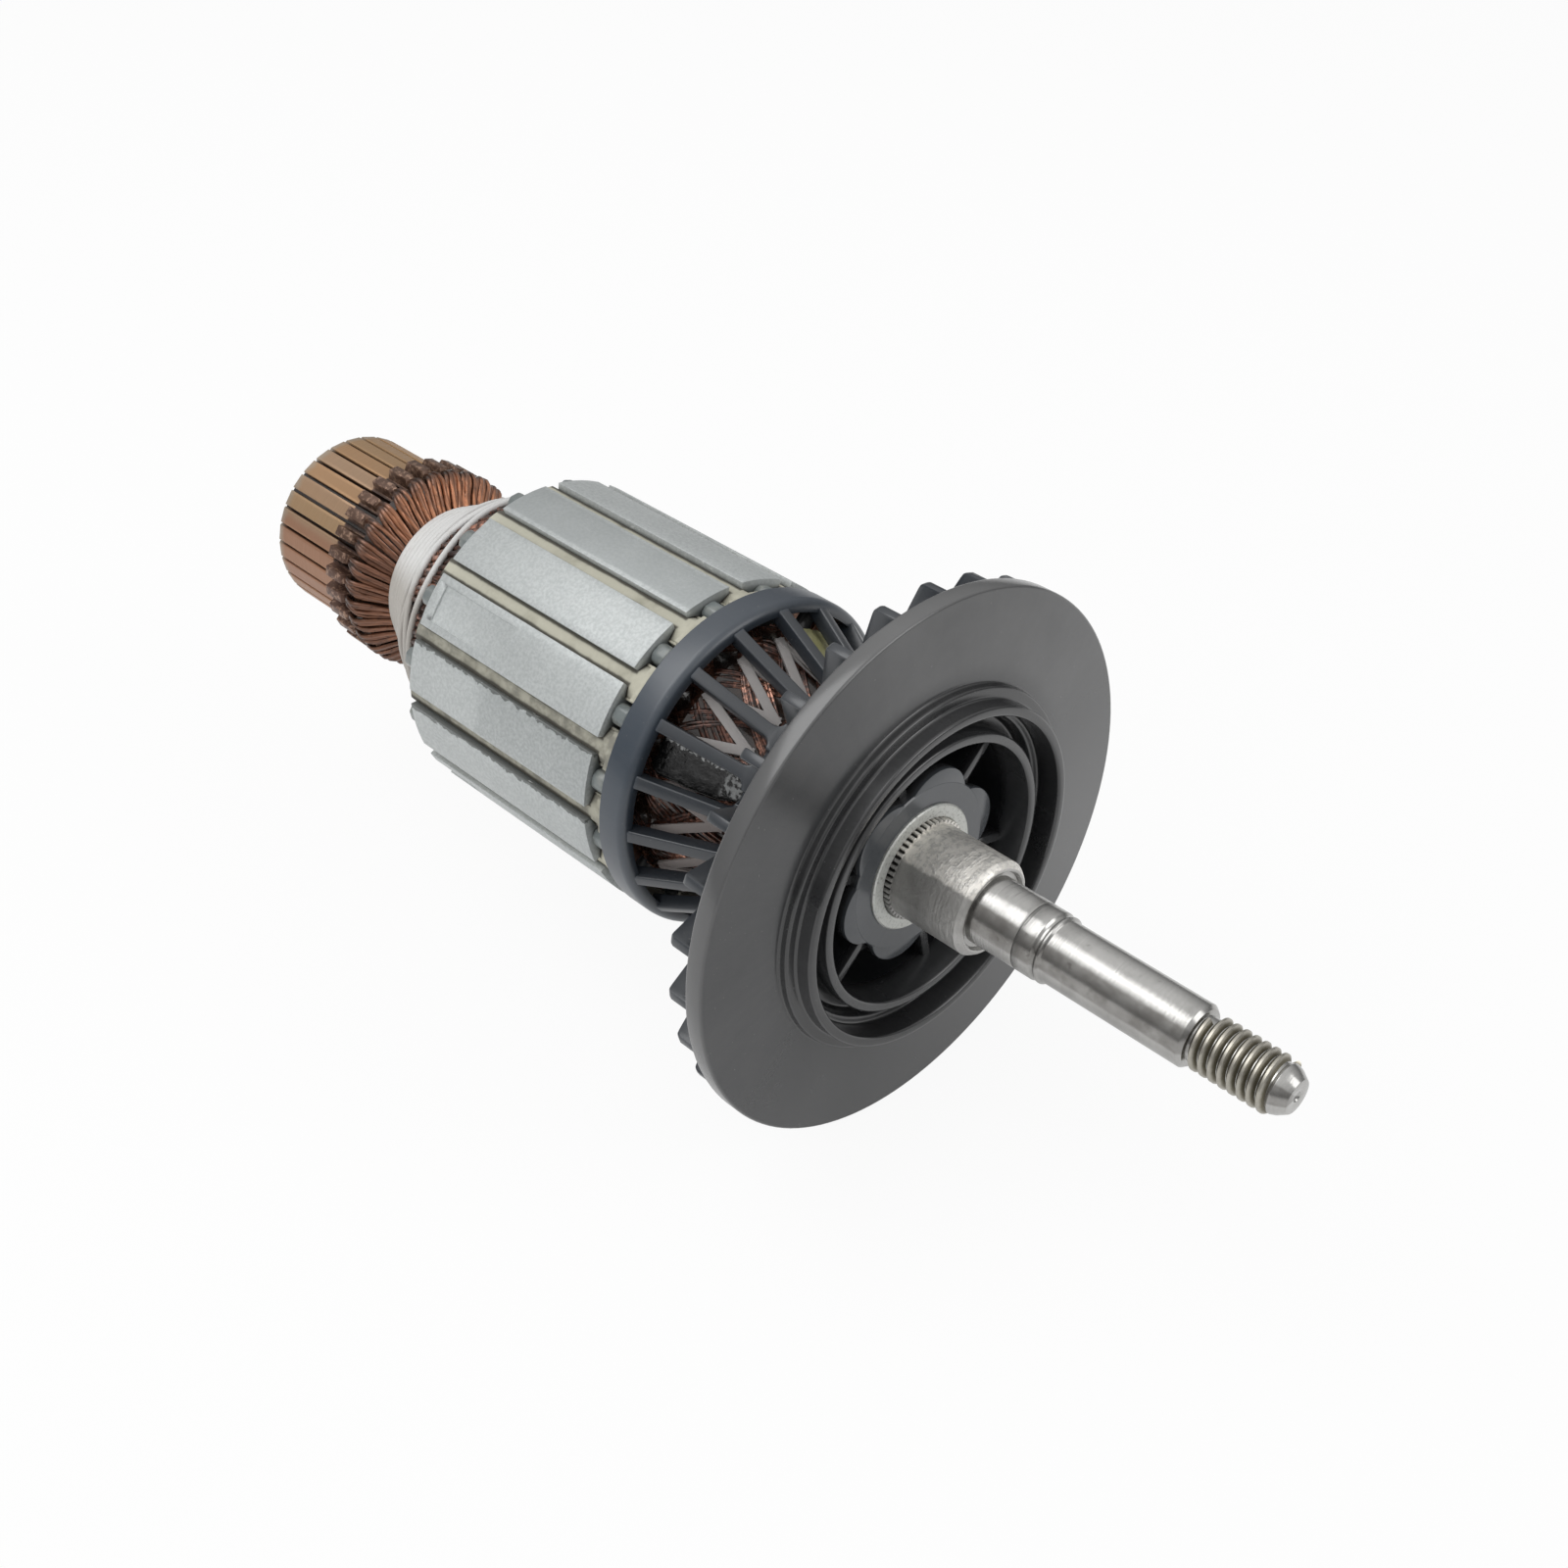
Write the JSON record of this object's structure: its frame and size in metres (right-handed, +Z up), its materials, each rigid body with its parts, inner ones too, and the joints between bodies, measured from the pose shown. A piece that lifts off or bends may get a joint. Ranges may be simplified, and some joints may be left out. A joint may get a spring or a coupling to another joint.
{
  "type": "motor armature",
  "caption": "Wound armature of a hand-held power tool: commutator, slotted core, caged cooling fan and stepped shaft with a threaded end.",
  "frame": {"origin": "on the shaft's axis, on the shoulder that the drive-end bearing seats against", "axes": "+X along the shaft towards its threaded end, +Z up and square to the shaft"},
  "size_m": [0.204, 0.0824, 0.0824],
  "materials": {
    "ground_steel": "ground",
    "lamination_steel": "satin",
    "bush_metal": "as cast",
    "commutator_copper": "turned",
    "winding_copper": "enamelled",
    "slot_insulation": "matt",
    "insulating_plastic": "matt",
    "white_cord": "braided",
    "dark_varnish": "varnished",
    "phenolic": "moulded",
    "fan_plastic": "moulded",
    "black_putty": "glossy",
    "olive_resin": "semi-gloss"
  },
  "bodies": {
    "root": {"shaft": "ground_steel", "shaft_insulation_tube": "insulating_plastic", "core_stack": "lamination_steel", "slot_liners": "slot_insulation", "slot_conductors": "winding_copper", "slot_wedges": "slot_insulation", "end_spider_front": "insulating_plastic", "end_spider_rear": "insulating_plastic", "coil_head_front": "winding_copper", "coil_head_rear": "winding_copper", "lacing_cord_front": "white_cord", "binding_cord_rear": "white_cord", "lead_cone": "dark_varnish", "lead_wires": "winding_copper", "commutator_bars": "commutator_copper", "bar_insulation": "dark_varnish", "commutator_moulding": "phenolic", "commutator_rings": "ground_steel", "commutator_bush": "bush_metal", "commutator_spacer": "insulating_plastic", "fan": "fan_plastic", "fan_bush": "bush_metal", "putty_lump": "black_putty", "resin_lump": "olive_resin"}
  },
  "joints": []
}
